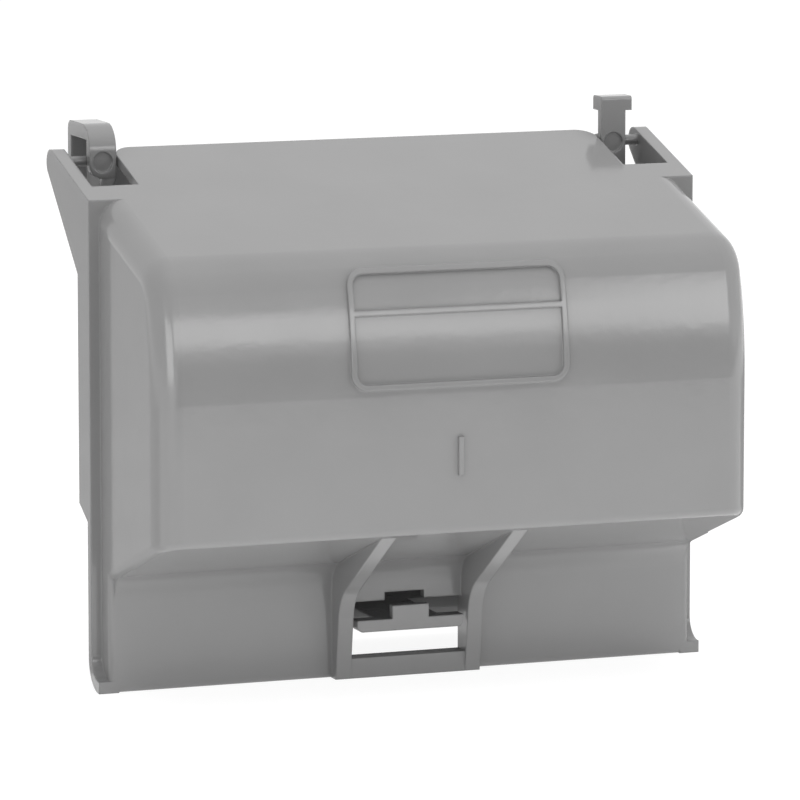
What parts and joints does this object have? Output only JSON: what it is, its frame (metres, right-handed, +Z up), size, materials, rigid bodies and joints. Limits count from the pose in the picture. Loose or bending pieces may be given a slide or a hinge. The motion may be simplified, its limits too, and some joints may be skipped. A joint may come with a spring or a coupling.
{
  "type": "weatherproof in use outlet cover",
  "caption": "Die-cast metal in-use cover for an outdoor socket: a deep hinged lid over a wall base with a rim, latch tongue and cord slots.",
  "frame": {"origin": "centre of the mounting face, midway between the two mounting screws, on the wall", "axes": "+Y into the wall, -Y towards the user, +Z up, +X to the right as seen from the front"},
  "size_m": [0.1502, 0.0936, 0.1311],
  "materials": {
    "casting": "semi-gloss powder coat",
    "gasket": "matte foam",
    "insert": "matte",
    "screw": "zinc plated"
  },
  "bodies": {
    "base": {"base_frame": "casting", "box_gasket": "gasket", "insert_gasket": "gasket", "device_insert": "insert", "mounting_screw_left": "screw", "mounting_screw_right": "screw", "sealing_washer_left": "gasket", "sealing_washer_right": "gasket", "insert_screw_lower": "screw", "insert_screw_upper": "screw"},
    "lid": {"lid": "casting"}
  },
  "joints": [
    {"name": "lid_hinge", "type": "hinge", "parent": "base", "child": "lid", "pos_m": [0, -0.0126, 0.05735], "axis": [-1, 0, 0], "range_deg": [0, 110]}
  ]
}
